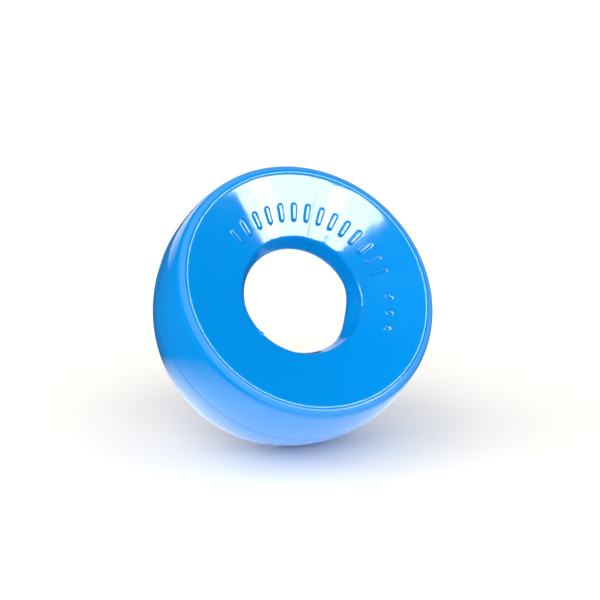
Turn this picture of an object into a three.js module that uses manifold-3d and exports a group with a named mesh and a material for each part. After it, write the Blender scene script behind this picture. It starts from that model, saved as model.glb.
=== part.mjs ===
// A grip ring moulded in one shot of soft, glossy elastomer. Its outer wall is curved like a
// flattened ball, its front face is a shallow dish, and a wide hole runs through the middle and
// opens into a deeper cone at the back. It lies on its flat back land with the dish facing up.
import * as THREE from "three";
import { mergeVertices } from "three/addons/utils/BufferGeometryUtils.js";
import Module from "manifold-3d";

// Driving dimensions, in millimetres and degrees. Heights are above the back land.
const OUTER_RADIUS = 32; // at the belt, the widest place, where the two mould halves meet
const BELT_HEIGHT = 15.4;
const FRONT_HEIGHT = 28.9; // crest of the front rim
const WALL_CURVE_RADIUS = 46; // of the outer wall in section, flatter than a true ball
const FRONT_RIM_ROUND = 2.2;
const BACK_RIM_ROUND = 1.2;
const DISH_SLOPE = 24; // of the front face, falling towards the hole
const HOLE_EDGE_RADIUS = 14.3; // where the dish would meet the hole's wall without its rounding
const HOLE_EDGE_ROUND = 1;
const THROAT_RADIUS = 12.8; // the tightest place in the hole
const THROAT_DEPTH = 3.7; // below the edge of the hole
const THROAT_ROUND = 1.1;
const BACK_CONE_ANGLE = 36; // of the back recess, from the axis
const LAND_EDGE_ROUND = 0.8;
const TURN_STEPS = 84; // flat facets around the ring

// Raised ribs in an arc on the dish, and a shorter group of round studs beside them.
const RIB_COUNT = 14;
const RIB_ARC = [61, 185]; // first and last rib, as angles around the ring
const RIB_CIRCLE_RADIUS = 19.6;
const RIB_LENGTH = 3.7;
const RIB_WIDTH = 1.15;
const STUD_ANGLES = [20, 31, 42];
const STUD_CIRCLE_RADIUS = 20.6;
const STUD_DIAMETER = 1.5;
const RAISED_HEIGHT = 0.45; // of ribs and studs above the dish
const ROOT_DEPTH = 0.5; // how far their solids run into the ring to join it

const radians = THREE.MathUtils.degToRad;

// Points on an arc of the section, from one angle to another.
function arc(centre, radius, fromDegrees, toDegrees, steps) {
  const points = [];
  for (let i = 0; i <= steps; i++) {
    const angle = radians(fromDegrees + ((toDegrees - fromDegrees) * i) / steps);
    const onArc = new THREE.Vector2(Math.cos(angle), Math.sin(angle)).multiplyScalar(radius);
    points.push(onArc.add(centre));
  }
  return points;
}

// Points that round the corner between two straight stretches of the section.
function roundedCorner(before, corner, after, radius, steps) {
  const incoming = before.clone().sub(corner).normalize();
  const outgoing = after.clone().sub(corner).normalize();
  const halfAngle = Math.acos(incoming.dot(outgoing)) / 2;
  const bisector = incoming.clone().add(outgoing).normalize();
  const centre = corner.clone().addScaledVector(bisector, radius / Math.sin(halfAngle));
  const reach = radius / Math.tan(halfAngle);
  const first = corner.clone().addScaledVector(incoming, reach).sub(centre);
  const last = corner.clone().addScaledVector(outgoing, reach).sub(centre);
  const start = THREE.MathUtils.radToDeg(first.angle());
  let sweep = THREE.MathUtils.radToDeg(last.angle()) - start;
  if (sweep > 180) sweep -= 360;
  if (sweep < -180) sweep += 360;
  return arc(centre, radius, start, start + sweep, steps);
}

// Centre of the rounding that runs from the outer wall's curve into a flat at the given height.
function rimRoundCentre(height, round, side) {
  const wallCentre = OUTER_RADIUS - WALL_CURVE_RADIUS;
  const z = height - side * round;
  const reach = Math.sqrt((WALL_CURVE_RADIUS - round) ** 2 - (z - BELT_HEIGHT) ** 2);
  return new THREE.Vector2(wallCentre + reach, z);
}

// The ring's section, drawn counter-clockwise from the bottom of the outer wall.
function ringSection() {
  const wallCentre = new THREE.Vector2(OUTER_RADIUS - WALL_CURVE_RADIUS, BELT_HEIGHT);
  const frontRim = rimRoundCentre(FRONT_HEIGHT, FRONT_RIM_ROUND, 1);
  const backRim = rimRoundCentre(0, BACK_RIM_ROUND, -1);
  const wallAngle = (point) => THREE.MathUtils.radToDeg(point.clone().sub(wallCentre).angle());
  const wallTop = wallAngle(frontRim);
  const wallBottom = wallAngle(backRim) - 360;

  const dishStart = arc(frontRim, FRONT_RIM_ROUND, 90 + DISH_SLOPE, 90 + DISH_SLOPE, 1)[0];
  const dishFall = (dishStart.x - HOLE_EDGE_RADIUS) * Math.tan(radians(DISH_SLOPE));
  const holeEdge = new THREE.Vector2(HOLE_EDGE_RADIUS, dishStart.y - dishFall);
  const throat = new THREE.Vector2(THROAT_RADIUS, holeEdge.y - THROAT_DEPTH);
  const backFlare = throat.y * Math.tan(radians(BACK_CONE_ANGLE));
  const landEdge = new THREE.Vector2(throat.x + backFlare, 0);
  const landEnd = new THREE.Vector2(backRim.x, 0);

  const outline = [
    ...arc(wallCentre, WALL_CURVE_RADIUS, wallBottom, wallTop, 12),
    ...arc(frontRim, FRONT_RIM_ROUND, wallTop, 90 + DISH_SLOPE, 5).slice(1),
    ...roundedCorner(dishStart, holeEdge, throat, HOLE_EDGE_ROUND, 5),
    ...roundedCorner(holeEdge, throat, landEdge, THROAT_ROUND, 3),
    ...roundedCorner(throat, landEdge, landEnd, LAND_EDGE_ROUND, 3),
    ...arc(backRim, BACK_RIM_ROUND, -90, wallBottom, 4).slice(0, -1),
  ];
  return { outline: [...outline, outline[0]], holeEdge };
}

// A shape pushed up through the dish at an angle around the ring and a distance from its axis.
function raisedOnDish(shape, angleDegrees, distance, holeEdge) {
  const solid = new THREE.ExtrudeGeometry(shape, {
    depth: ROOT_DEPTH + RAISED_HEIGHT,
    bevelEnabled: false,
    curveSegments: 5,
  });
  const rise = (distance - holeEdge.x) * Math.tan(radians(DISH_SLOPE));
  solid.translate(0, 0, -ROOT_DEPTH);
  solid.rotateY(-radians(DISH_SLOPE));
  solid.translate(distance, 0, holeEdge.y + rise);
  solid.rotateZ(radians(angleDegrees));
  return solid;
}

function ribShape() {
  const half = RIB_LENGTH / 2 - RIB_WIDTH / 2;
  const shape = new THREE.Shape();
  shape.absarc(half, 0, RIB_WIDTH / 2, -Math.PI / 2, Math.PI / 2, false);
  shape.absarc(-half, 0, RIB_WIDTH / 2, Math.PI / 2, (3 * Math.PI) / 2, false);
  return shape;
}

function studShape() {
  return new THREE.Shape().absarc(0, 0, STUD_DIAMETER / 2, 0, 2 * Math.PI, false);
}

// Manifold joins the raised details to the ring, so that the moulding stays one solid.
const wasm = await Module();
wasm.setup();

function toSolid(geometry) {
  const bare = geometry.clone();
  bare.deleteAttribute("normal");
  bare.deleteAttribute("uv");
  const merged = mergeVertices(bare, 1e-4);
  const vertProperties = new Float32Array(merged.attributes.position.array);
  const triVerts = new Uint32Array(merged.index.array);
  return new wasm.Manifold(new wasm.Mesh({ numProp: 3, vertProperties, triVerts }));
}

function toGeometry(solid) {
  const mesh = solid.getMesh();
  const geometry = new THREE.BufferGeometry();
  geometry.setAttribute("position", new THREE.BufferAttribute(mesh.vertProperties, 3));
  geometry.setIndex(new THREE.BufferAttribute(mesh.triVerts, 1));
  geometry.computeVertexNormals();
  return geometry;
}

function mouldedRing() {
  const { outline, holeEdge } = ringSection();
  const turned = new THREE.LatheGeometry(outline, TURN_STEPS).rotateX(Math.PI / 2);
  let solid = toSolid(turned);
  for (let i = 0; i < RIB_COUNT; i++) {
    const angle = THREE.MathUtils.lerp(RIB_ARC[0], RIB_ARC[1], i / (RIB_COUNT - 1));
    solid = solid.add(toSolid(raisedOnDish(ribShape(), angle, RIB_CIRCLE_RADIUS, holeEdge)));
  }
  for (const angle of STUD_ANGLES) {
    solid = solid.add(toSolid(raisedOnDish(studShape(), angle, STUD_CIRCLE_RADIUS, holeEdge)));
  }
  return toGeometry(solid);
}

const blueElastomer = new THREE.MeshStandardMaterial({
  color: 0x0094ec,
  roughness: 0.18,
  metalness: 0,
});

const object = new THREE.Group();
const ring = new THREE.Mesh(mouldedRing(), blueElastomer);
ring.name = "moulded_ring";
object.add(ring);

export default object;
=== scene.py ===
import math

import bmesh
import bpy
from mathutils import Matrix, Vector, noise


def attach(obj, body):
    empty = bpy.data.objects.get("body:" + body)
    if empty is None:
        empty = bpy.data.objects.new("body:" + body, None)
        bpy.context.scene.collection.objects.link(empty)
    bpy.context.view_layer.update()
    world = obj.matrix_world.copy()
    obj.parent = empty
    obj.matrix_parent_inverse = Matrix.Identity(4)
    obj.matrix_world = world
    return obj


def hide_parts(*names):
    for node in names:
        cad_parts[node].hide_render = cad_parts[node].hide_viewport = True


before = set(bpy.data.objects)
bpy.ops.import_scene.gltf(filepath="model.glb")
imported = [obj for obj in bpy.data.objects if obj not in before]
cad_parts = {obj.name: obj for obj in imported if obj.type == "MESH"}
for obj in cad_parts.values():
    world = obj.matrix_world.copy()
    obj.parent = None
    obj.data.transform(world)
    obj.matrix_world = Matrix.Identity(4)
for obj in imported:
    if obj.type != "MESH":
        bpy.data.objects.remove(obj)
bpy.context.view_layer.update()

# ---------------------------------------------------------------------------------------------
# Camera. The ring stands on its ball-curved wall and leans back, so the camera looks along a
# line 30 degrees off the ring's axis, rolled until the floor is level in the picture.
# ---------------------------------------------------------------------------------------------
belt_height = 0.0154
axis_to_sight = math.radians(29.9)
roll = math.radians(42.3)
look_down = math.radians(15)
eye_distance = 0.211
sight_offset = Vector((0.00183, 0.0014, 0))
frame_width = 36
lens_length = 54

ring_centre = Vector((0, 0, belt_height))
camera_turn = Matrix.Rotation(axis_to_sight, 3, "X") @ Matrix.Rotation(roll, 3, "Z")
rightward = camera_turn @ Vector((1, 0, 0))
plumb_up = camera_turn @ Vector((0, math.cos(look_down), math.sin(look_down)))
towards_viewer = rightward.cross(plumb_up)

camera_data = bpy.data.cameras.new("studio_camera")
camera_data.sensor_width = frame_width
camera_data.lens = lens_length
camera_data.clip_start = 0.005
camera = bpy.data.objects.new("studio_camera", camera_data)
bpy.context.scene.collection.objects.link(camera)
eye = ring_centre + camera_turn @ (sight_offset + Vector((0, 0, eye_distance)))
camera.matrix_world = Matrix.Translation(eye) @ camera_turn.to_4x4()
bpy.context.scene.camera = camera
bpy.context.scene.view_settings.view_transform = "Standard"
bpy.context.scene.view_settings.look = "None"

# ---------------------------------------------------------------------------------------------
# Floor. A white paper sweep that the ring rests on, level with the viewer and so tilted in the
# ring's own frame. In light it bounces onto the ring it is painted evenly a little brighter than
# white, and in the ring's gloss it carries a painted reflection, brightest close to the ring's foot.
# Its underside is clear, so that it hides nothing from views below it.
# ---------------------------------------------------------------------------------------------
sweep_radius = 3.0
sweep_sides = 96
paper_white = (0.935, 0.905, 0.855, 1)
# The paper's painted colour in bounce light: evenly a little brighter than white.
paper_bounce = 1.05
# Painted reflection: in the ring's gloss the paper is up to 1.7 times white near the foot and fades
# to almost black farther off.
painted_glow_near, painted_glow_far = 1.7, 0.03
painted_glow_start, painted_glow_end = 0.033, 0.067

node_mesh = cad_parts["moulded_ring"].data
rest_level = min(v.co.dot(plumb_up) for v in node_mesh.vertices)
foot = ring_centre + plumb_up * (rest_level - ring_centre.dot(plumb_up))

sweep_mesh = bpy.data.meshes.new("paper_sweep")
sweep_form = bmesh.new()
bmesh.ops.create_circle(sweep_form, cap_ends=True, segments=sweep_sides, radius=sweep_radius)
sweep_form.to_mesh(sweep_mesh)
sweep_form.free()
sweep = bpy.data.objects.new("paper_sweep", sweep_mesh)
bpy.context.scene.collection.objects.link(sweep)
sweep.matrix_world = Matrix.Translation(foot) @ plumb_up.to_track_quat("Z", "Y").to_matrix().to_4x4()

paper = bpy.data.materials.new("white_paper")
paper.use_nodes = True
nodes, links = paper.node_tree.nodes, paper.node_tree.links
nodes.clear()
paper_face = nodes.new("ShaderNodeBsdfDiffuse")
from_foot = nodes.new("ShaderNodeTexCoord")
distance = nodes.new("ShaderNodeVectorMath")
distance.operation = "LENGTH"
# Painted reflection: the paper's colour for glossy rays, set by the distance from the ring's foot.
painted_glow_ramp = nodes.new("ShaderNodeMapRange")
painted_glow_ramp.inputs["From Min"].default_value = painted_glow_start
painted_glow_ramp.inputs["From Max"].default_value = painted_glow_end
painted_glow_ramp.inputs["To Min"].default_value = painted_glow_near
painted_glow_ramp.inputs["To Max"].default_value = painted_glow_far
ray = nodes.new("ShaderNodeLightPath")
bounce_or_painted_glow = nodes.new("ShaderNodeMix")
bounce_or_painted_glow.inputs["A"].default_value = paper_bounce
direct_or_painted_glow = nodes.new("ShaderNodeMix")
direct_or_painted_glow.data_type = "RGBA"
direct_or_painted_glow.inputs["B"].default_value = paper_white
links.new(from_foot.outputs["Object"], distance.inputs[0])
links.new(distance.outputs["Value"], painted_glow_ramp.inputs["Value"])
links.new(ray.outputs["Is Glossy Ray"], bounce_or_painted_glow.inputs["Factor"])
links.new(painted_glow_ramp.outputs["Result"], bounce_or_painted_glow.inputs["B"])
links.new(ray.outputs["Is Camera Ray"], direct_or_painted_glow.inputs["Factor"])
links.new(bounce_or_painted_glow.outputs["Result"], direct_or_painted_glow.inputs["A"])
links.new(direct_or_painted_glow.outputs["Result"], paper_face.inputs["Color"])
clear_back = nodes.new("ShaderNodeBsdfTransparent")
side = nodes.new("ShaderNodeNewGeometry")
face_or_back = nodes.new("ShaderNodeMixShader")
paper_out = nodes.new("ShaderNodeOutputMaterial")
links.new(side.outputs["Backfacing"], face_or_back.inputs["Fac"])
links.new(paper_face.outputs["BSDF"], face_or_back.inputs[1])
links.new(clear_back.outputs["BSDF"], face_or_back.inputs[2])
links.new(face_or_back.outputs["Shader"], paper_out.inputs["Surface"])
sweep_mesh.materials.append(paper)

# ---------------------------------------------------------------------------------------------
# Light. Soft sources from the left, the right and low down light the ring and the paper. Gloss
# comes from bright panels that show only as reflections, and from the lit paper; the rest of
# the room is dim in reflections, so that the blue stays deep.
# ---------------------------------------------------------------------------------------------


def studio_direction(azimuth_degrees, elevation_degrees):
    """A direction from the ring: azimuth 0 is towards the viewer, 90 to the right."""
    azimuth, elevation = math.radians(azimuth_degrees), math.radians(elevation_degrees)
    level = towards_viewer * math.cos(azimuth) + rightward * math.sin(azimuth)
    return level * math.cos(elevation) + plumb_up * math.sin(elevation)


def aim_light(light, direction, distance):
    """Stands a light off in that direction, facing the ring, with its own Y edge upright."""
    across = plumb_up.cross(direction).normalized()
    upright = direction.cross(across)
    turn = Matrix((across, upright, direction)).transposed().to_4x4()
    light.matrix_world = Matrix.Translation(ring_centre + direction * distance) @ turn


lamp_distance = 1
for name, azimuth, elevation, spread, brightness in (
    ("soft_left", -55, 44, 75, 0.58),
    ("soft_right", 50, 40, 75, 0.54),
    ("low_left", -88, 6, 60, 0.34),
    ("low_front", 10, 16, 70, 0.24),
):
    sun = bpy.data.lights.new(name, "SUN")
    sun.angle = math.radians(spread)
    sun.energy = math.pi * brightness
    sun_object = bpy.data.objects.new(name, sun)
    bpy.context.scene.collection.objects.link(sun_object)
    aim_light(sun_object, studio_direction(azimuth, elevation), lamp_distance)
    sun_object.visible_glossy = False
    sun_object.visible_camera = False

for name, azimuth, elevation, half_width, half_height, radiance in (
    ("dish_panel_left", 21.5, 26, 7.5, 7, 21),
    ("dish_panel", 42, 15, 17, 7, 21),
    ("dish_panel_right", 61, 17, 6, 7, 21),
    ("rim_panel", 61, 48, 4, 4, 14),
    ("hole_panel", -30, 50, 4, 11, 30),
):
    panel = bpy.data.lights.new(name, "AREA")
    panel.shape = "RECTANGLE"
    panel.size = 2 * math.tan(math.radians(half_width))
    panel.size_y = 2 * math.tan(math.radians(half_height))
    panel.energy = math.pi * panel.size * panel.size_y * radiance
    panel_object = bpy.data.objects.new(name, panel)
    bpy.context.scene.collection.objects.link(panel_object)
    aim_light(panel_object, studio_direction(azimuth, elevation), lamp_distance)
    panel_object.visible_diffuse = False
    panel_object.visible_camera = False

fill, room_dark, paper_bright, backdrop = 0.33, 0.01, 1.2, 1.1
paper_behind_outer, paper_behind_inner = math.radians(50), math.radians(25)
world = bpy.data.worlds.new("studio")
world.use_nodes = True
nodes, links = world.node_tree.nodes, world.node_tree.links
nodes.clear()
heading = nodes.new("ShaderNodeTexCoord")
behindness = nodes.new("ShaderNodeVectorMath")
behindness.operation = "DOT_PRODUCT"
behindness.inputs[1].default_value = -towards_viewer
room_to_paper = nodes.new("ShaderNodeMapRange")
room_to_paper.interpolation_type = "SMOOTHSTEP"
room_to_paper.inputs["From Min"].default_value = math.cos(paper_behind_outer)
room_to_paper.inputs["From Max"].default_value = math.cos(paper_behind_inner)
room_to_paper.inputs["To Min"].default_value = room_dark
room_to_paper.inputs["To Max"].default_value = paper_bright
seen_by = nodes.new("ShaderNodeLightPath")
fill_or_room = nodes.new("ShaderNodeMix")
fill_or_room.inputs["A"].default_value = fill
backdrop_or_light = nodes.new("ShaderNodeMix")
backdrop_or_light.inputs["B"].default_value = backdrop
sky = nodes.new("ShaderNodeBackground")
sky.inputs["Color"].default_value = (1, 1, 1, 1)
sky_out = nodes.new("ShaderNodeOutputWorld")
links.new(heading.outputs["Generated"], behindness.inputs[0])
links.new(behindness.outputs["Value"], room_to_paper.inputs["Value"])
links.new(seen_by.outputs["Is Glossy Ray"], fill_or_room.inputs["Factor"])
links.new(room_to_paper.outputs["Result"], fill_or_room.inputs["B"])
links.new(seen_by.outputs["Is Camera Ray"], backdrop_or_light.inputs["Factor"])
links.new(fill_or_room.outputs["Result"], backdrop_or_light.inputs["A"])
links.new(backdrop_or_light.outputs["Result"], sky.inputs["Strength"])
links.new(sky.outputs["Background"], sky_out.inputs["Surface"])
bpy.context.scene.world = world

# ---------------------------------------------------------------------------------------------
# Moulded ring. One shot of soft, glossy blue elastomer: ball-curved wall, dished front and a
# rounded hole that opens into a cone behind. Ribs and studs on the dish are part of the shot,
# and the mould leaves a parting line round the belt, a fine radial line and a nib in the hole.
# ---------------------------------------------------------------------------------------------
MM = 0.001
outer_radius = 32 * MM
front_height = 28.9 * MM
wall_curve_radius = 46 * MM
front_rim_round = 2.2 * MM
back_rim_round = 1.2 * MM
dish_slope = math.radians(24)
hole_edge_radius = 14.3 * MM
hole_edge_round = 1 * MM
throat_radius = 12.8 * MM
throat_depth = 3.7 * MM
throat_round = 1.1 * MM
back_cone_angle = math.radians(36)
land_edge_round = 0.8 * MM

rib_count = 14
rib_arc = (61, 185)
rib_circle_radius = 19.6 * MM
rib_length = 3.7 * MM
rib_width = 1.15 * MM
stud_angles = (20, 31, 42)
stud_circle_radius = 20.6 * MM
stud_diameter = 1.5 * MM
raised_height = 0.45 * MM
raised_edge = 0.3 * MM
rib_crowning = 0.15
stud_crowning = 0.6

parting_ridge = 0.09 * MM
parting_width = 0.16 * MM
seam_angle = 124.1
seam_height = 0.035 * MM
seam_width = 0.12 * MM
nib_angle = 268
nib_height = 0.35 * MM
nib_rise, nib_drop = 7, 0.9
throat_swell = 1.0 * MM
throat_swell_angle = 28
throat_swell_span = 42
throat_swell_fade = 3 * throat_depth
dish_ripple = 0.012 * MM
ripple_length = 5 * MM


def arc(centre, radius, start, end, steps):
    """Points on an arc of the section, as (distance from the axis, height), ends included."""
    turns = (start + (end - start) * i / steps for i in range(steps + 1))
    return [centre + radius * Vector((math.cos(t), math.sin(t))) for t in turns]


def rounded_corner(before, corner, after, radius, steps):
    """Points that round the corner between two straight stretches of the section."""
    incoming = (before - corner).normalized()
    outgoing = (after - corner).normalized()
    half_angle = incoming.angle(outgoing) / 2
    centre = corner + (incoming + outgoing).normalized() * radius / math.sin(half_angle)
    reach = radius / math.tan(half_angle)
    first = corner + incoming * reach - centre
    last = corner + outgoing * reach - centre
    start = math.atan2(first.y, first.x)
    sweep = math.atan2(last.y, last.x) - start
    sweep = (sweep + math.pi) % (2 * math.pi) - math.pi
    return arc(centre, radius, start, start + sweep, steps)


def straight(start, end, spacing):
    """Points between two ends of a straight stretch, the ends left out."""
    steps = max(1, round((end - start).length / spacing))
    return [start.lerp(end, i / steps) for i in range(1, steps)]


wall_centre = Vector((outer_radius - wall_curve_radius, belt_height))


def rim_round_centre(height, rounding):
    """Centre of the rounding between the outer wall's curve and a crest at height."""
    rise = height - belt_height
    reach = math.sqrt((wall_curve_radius - abs(rounding)) ** 2 - (rise - rounding) ** 2)
    return Vector((wall_centre.x + reach, height - rounding))


front_rim = rim_round_centre(front_height, front_rim_round)
back_rim = rim_round_centre(0, -back_rim_round)
wall_top = math.atan2(front_rim.y - wall_centre.y, front_rim.x - wall_centre.x)
wall_bottom = math.atan2(back_rim.y - wall_centre.y, back_rim.x - wall_centre.x)
parting_reach = 4
belt_band = parting_reach * parting_width / wall_curve_radius

dish_start = arc(front_rim, front_rim_round, math.pi / 2 + dish_slope, 0, 1)[0]
dish_fall = (dish_start.x - hole_edge_radius) * math.tan(dish_slope)
hole_edge = Vector((hole_edge_radius, dish_start.y - dish_fall))
throat = Vector((throat_radius, hole_edge.y - throat_depth))
land_edge = Vector((throat.x + throat.y * math.tan(back_cone_angle), 0))
land_end = Vector((back_rim.x, 0))


def on_dish(distance):
    """The point of the section on the plain dish at that distance from the axis."""
    return Vector((distance, hole_edge.y + (distance - hole_edge.x) * math.tan(dish_slope)))


# The dish is cut finest in the band that carries the ribs and studs.
band_outer = on_dish(rib_circle_radius + 2.4 * MM)
band_inner = on_dish(rib_circle_radius - 2.3 * MM)
wall_steps, belt_steps, rim_steps, back_rim_steps = 15, 14, 14, 7
hole_edge_steps, throat_steps, land_edge_steps = 12, 6, 5
outer_spacing, band_spacing, inner_spacing, cone_spacing = 0.7 * MM, 0.15 * MM, 0.6 * MM, 1.6 * MM

hole_rounding = rounded_corner(dish_start, hole_edge, throat, hole_edge_round, hole_edge_steps)
throat_rounding = rounded_corner(hole_edge, throat, land_edge, throat_round, throat_steps)
land_rounding = rounded_corner(throat, land_edge, land_end, land_edge_round, land_edge_steps)

wall = [
    *arc(wall_centre, wall_curve_radius, wall_bottom, -belt_band, wall_steps),
    *arc(wall_centre, wall_curve_radius, -belt_band, belt_band, belt_steps)[1:-1],
    *arc(wall_centre, wall_curve_radius, belt_band, wall_top, wall_steps),
]
rim = arc(front_rim, front_rim_round, wall_top, math.pi / 2 + dish_slope, rim_steps)[1:]
dish = [
    *straight(dish_start, band_outer, outer_spacing),
    band_outer,
    *straight(band_outer, band_inner, band_spacing),
    band_inner,
    *straight(band_inner, hole_rounding[0], inner_spacing),
]
hole = [
    *hole_rounding,
    *straight(hole_rounding[-1], throat_rounding[0], inner_spacing),
    *throat_rounding,
    *straight(throat_rounding[-1], land_rounding[0], cone_spacing),
]
back = [
    *land_rounding,
    *straight(land_rounding[-1], land_end, inner_spacing),
    *arc(back_rim, back_rim_round, -math.pi / 2, wall_bottom, back_rim_steps)[:-1],
]
section = [*wall, *rim, *dish, *hole, *back]
dish_rows = range(len(wall) + len(rim), len(wall) + len(rim) + len(dish))
edge_rows = range(dish_rows.stop, dish_rows.stop + len(hole_rounding))
hole_rows = range(dish_rows.stop, dish_rows.stop + len(hole))


def stations(spans):
    """Angles around the ring, closer together where fine detail crosses them."""
    angles = []
    for start, end, step in spans:
        count = round((end - start) / step)
        angles += [start + (end - start) * i / count for i in range(count)]
    return angles


# In order round the ring: the nib, plain dish, studs, a gap, ribs, the radial line, ribs, plain dish.
plain_step, gap_step, nib_step, mark_step, seam_step = 1.25, 1.0, 0.5, 0.4, 0.08
seam_reach = 0.6
columns = stations(
    (
        (-100, -84, nib_step),
        (-84, 16, plain_step),
        (16, 46, mark_step),
        (46, 57, gap_step),
        (57, seam_angle - seam_reach, mark_step),
        (seam_angle - seam_reach, seam_angle + seam_reach, seam_step),
        (seam_angle + seam_reach, 189, mark_step),
        (189, 260, plain_step),
    )
)


def soft_step(value):
    """0 below 0, 1 above 1 and an even curve between them."""
    value = min(max(value, 0.0), 1.0)
    return value * value * (3 - 2 * value)


def raised(distance_from_line, half_width, crowning):
    """Height of a raised, crowned shape at a distance from its middle line."""
    crown = 1 - crowning * min(distance_from_line / half_width, 1.0) ** 2
    inside = (half_width + raised_edge / 2 - distance_from_line) / raised_edge
    return raised_height * crown * soft_step(inside)


rib_pitch = (rib_arc[1] - rib_arc[0]) / (rib_count - 1)


def dish_relief(distance, angle):
    """Height above the plain dish: ribs, studs, the radial line and the moulding's ripple."""
    nearest = round((angle - rib_arc[0]) / rib_pitch)
    nearest = min(max(nearest, 0), rib_count - 1)
    off_rib = math.radians(angle - rib_arc[0] - nearest * rib_pitch) * rib_circle_radius
    past_end = max(abs(distance - rib_circle_radius) - (rib_length - rib_width) / 2, 0.0)
    relief = raised(math.hypot(off_rib, past_end), rib_width / 2, rib_crowning)
    for stud in stud_angles:
        off_stud = math.radians(angle - stud) * stud_circle_radius
        from_stud = math.hypot(off_stud, distance - stud_circle_radius)
        relief += raised(from_stud, stud_diameter / 2, stud_crowning)
    off_seam = math.radians(angle - seam_angle) * distance
    relief += seam_height * math.exp(-((off_seam / seam_width) ** 2))
    turn = math.radians(angle)
    place = Vector((math.cos(turn), math.sin(turn), 0)) * distance / ripple_length
    return relief + dish_ripple * noise.noise(place)


def nib_relief(row, angle):
    """The nib in the rounded edge of the hole: it rises slowly on one side and drops at once."""
    off_nib = angle - (nib_angle - 360)
    around = soft_step((off_nib + nib_rise) / nib_rise) * soft_step((nib_drop - off_nib) / nib_drop)
    return nib_height * around * math.sin(math.pi * (row - edge_rows.start) / (len(edge_rows) - 1))


def throat_relief(height, angle):
    """The throat came off the core a little thick on one side, and fades out away from there."""
    around = math.cos(math.pi / 2 * min(abs(angle - throat_swell_angle) / throat_swell_span, 1))
    reach = throat_depth if height > throat.y else throat_swell_fade
    return throat_swell * around**2 * soft_step(1 - abs(height - throat.y) / reach)


def relief_at(row, point, angle):
    if row in dish_rows:
        return dish_relief(point.x, angle)
    if row in edge_rows:
        return nib_relief(row, angle) + throat_relief(point.y, angle)
    if row in hole_rows:
        return throat_relief(point.y, angle)
    above_belt = (point.y - belt_height) / parting_width
    if row < len(wall) and abs(above_belt) < parting_reach:
        return parting_ridge * math.exp(-(above_belt**2))
    return 0.0


def outward(row):
    """The section's outward normal at a row, square to the chord of its two neighbours."""
    along = section[(row + 1) % len(section)] - section[row - 1]
    return Vector((along.y, -along.x)).normalized()


vertices = []
for angle in columns:
    turn = math.radians(angle)
    for row, point in enumerate(section):
        moved = point + outward(row) * relief_at(row, point, angle)
        vertices.append((moved.x * math.cos(turn), moved.x * math.sin(turn), moved.y))

rows = len(section)
faces = []
for column in range(len(columns)):
    this, following = column * rows, (column + 1) % len(columns) * rows
    for row in range(rows):
        above = (row + 1) % rows
        faces.append((this + row, following + row, following + above, this + above))

ring_mesh = bpy.data.meshes.new("moulded_ring_body")
ring_mesh.from_pydata(vertices, [], faces)
ring_mesh.validate()
ring_mesh.shade_smooth()
ring = bpy.data.objects.new("moulded_ring_body", ring_mesh)
bpy.context.scene.collection.objects.link(ring)

pigment = (0.0, 0.24, 0.66, 1)
pigment_deep = (0.0, 0.215, 0.61, 1)

elastomer = bpy.data.materials.new("glossy_blue_elastomer")
elastomer.use_nodes = True
nodes, links = elastomer.node_tree.nodes, elastomer.node_tree.links
skin = nodes["Principled BSDF"]
skin.inputs["IOR"].default_value = 1.5
place = nodes.new("ShaderNodeTexCoord")

# Pigment streaks: the colour batch is not stirred quite evenly.
streaks = nodes.new("ShaderNodeTexNoise")
streaks.inputs["Scale"].default_value = 45
streaks.inputs["Detail"].default_value = 3
streaks.inputs["Distortion"].default_value = 1.2
blend = nodes.new("ShaderNodeMix")
blend.data_type = "RGBA"
blend.inputs["A"].default_value = pigment_deep
blend.inputs["B"].default_value = pigment
links.new(place.outputs["Object"], streaks.inputs["Vector"])
links.new(streaks.outputs["Fac"], blend.inputs["Factor"])
links.new(blend.outputs["Result"], skin.inputs["Base Color"])

# Handling haze: patches where the polish is a little duller.
haze = nodes.new("ShaderNodeTexNoise")
haze.inputs["Scale"].default_value = 160
haze.inputs["Detail"].default_value = 5
haze_range = nodes.new("ShaderNodeMapRange")
haze_range.inputs["From Min"].default_value = 0.35
haze_range.inputs["From Max"].default_value = 0.75
haze_range.inputs["To Min"].default_value = 0.07
haze_range.inputs["To Max"].default_value = 0.13
links.new(place.outputs["Object"], haze.inputs["Vector"])
links.new(haze.outputs["Fac"], haze_range.inputs["Value"])

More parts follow.
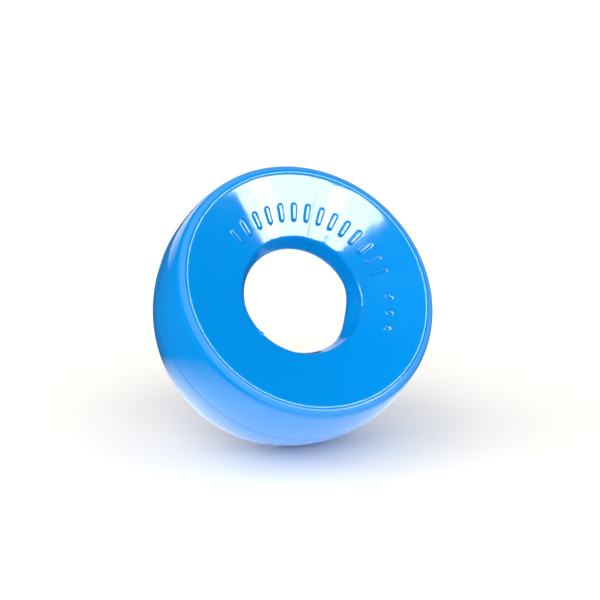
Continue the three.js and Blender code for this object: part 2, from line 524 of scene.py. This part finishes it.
# Rubbed edge: handling has taken the polish off a strip on the outer half of the front rim. Its
# middle is given as the distance from the axis and the height, as in the section.
rubbed_middle = front_rim + Vector((0.45, 0.87)) * front_rim_round
rubbed_start, rubbed_end, rubbed_roughness = 0.75 * MM, 0.35 * MM, 0.8
split_place = nodes.new("ShaderNodeSeparateXYZ")
flat_place = nodes.new("ShaderNodeCombineXYZ")
from_axis = nodes.new("ShaderNodeVectorMath")
from_axis.operation = "LENGTH"
section_place = nodes.new("ShaderNodeCombineXYZ")
from_rubbed = nodes.new("ShaderNodeVectorMath")
from_rubbed.operation = "DISTANCE"
from_rubbed.inputs[1].default_value = (*rubbed_middle, 0)
rubbing = nodes.new("ShaderNodeMapRange")
rubbing.interpolation_type = "SMOOTHSTEP"
rubbing.inputs["From Min"].default_value = rubbed_start
rubbing.inputs["From Max"].default_value = rubbed_end
polish = nodes.new("ShaderNodeMix")
polish.inputs["B"].default_value = rubbed_roughness
links.new(place.outputs["Object"], split_place.inputs["Vector"])
links.new(split_place.outputs["X"], flat_place.inputs["X"])
links.new(split_place.outputs["Y"], flat_place.inputs["Y"])
links.new(flat_place.outputs["Vector"], from_axis.inputs[0])
links.new(from_axis.outputs["Value"], section_place.inputs["X"])
links.new(split_place.outputs["Z"], section_place.inputs["Y"])
links.new(section_place.outputs["Vector"], from_rubbed.inputs[0])
links.new(from_rubbed.outputs["Value"], rubbing.inputs["Value"])
links.new(rubbing.outputs["Result"], polish.inputs["Factor"])
links.new(haze_range.outputs["Result"], polish.inputs["A"])
links.new(polish.outputs["Result"], skin.inputs["Roughness"])

# Orange peel: the faint unevenness that the polished mould leaves on a soft surface.
peel = nodes.new("ShaderNodeTexNoise")
peel.inputs["Scale"].default_value = 420
peel.inputs["Detail"].default_value = 2
peel_bump = nodes.new("ShaderNodeBump")
peel_bump.inputs["Strength"].default_value = 0.12
peel_bump.inputs["Distance"].default_value = 0.0001
links.new(place.outputs["Object"], peel.inputs["Vector"])
links.new(peel.outputs["Fac"], peel_bump.inputs["Height"])
links.new(peel_bump.outputs["Normal"], skin.inputs["Normal"])

ring_mesh.materials.append(elastomer)
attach(ring, "root")
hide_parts("moulded_ring")
